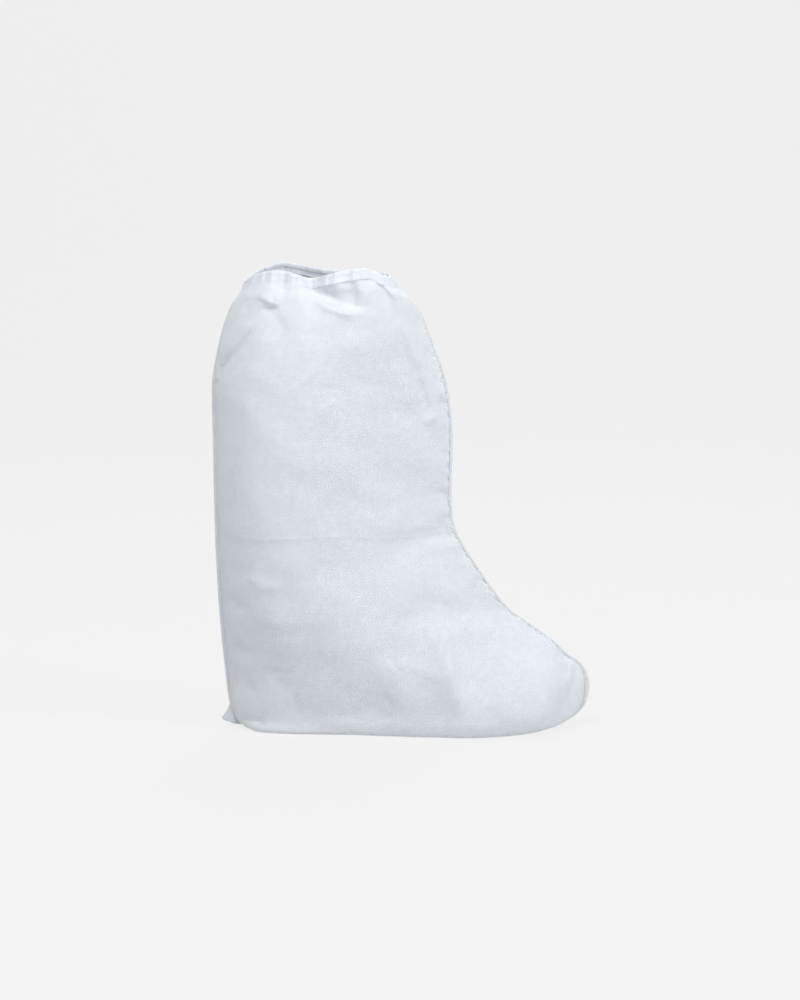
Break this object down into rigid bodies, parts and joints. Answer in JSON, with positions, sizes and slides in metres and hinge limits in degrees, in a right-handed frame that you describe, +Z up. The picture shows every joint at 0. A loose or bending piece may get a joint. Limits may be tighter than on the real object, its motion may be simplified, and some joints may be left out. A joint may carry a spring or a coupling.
{
  "type": "boot cover",
  "caption": "Knee-high boot cover of white nonwoven cloth, two seamed panels with a gathered elastic mouth, held as worn.",
  "frame": {"origin": "inner face of the sole, under the axis of the leg, where the foot sits", "axes": "+X to the toe, +Y to the wearer's left, +Z up the leg"},
  "size_m": [0.378, 0.1207, 0.4672],
  "materials": {
    "nonwoven": "matte",
    "elastic": "matte"
  },
  "bodies": {
    "root": {"right_panel": "nonwoven", "left_panel": "nonwoven", "top_hem": "nonwoven", "elastic_band": "elastic"}
  },
  "joints": []
}
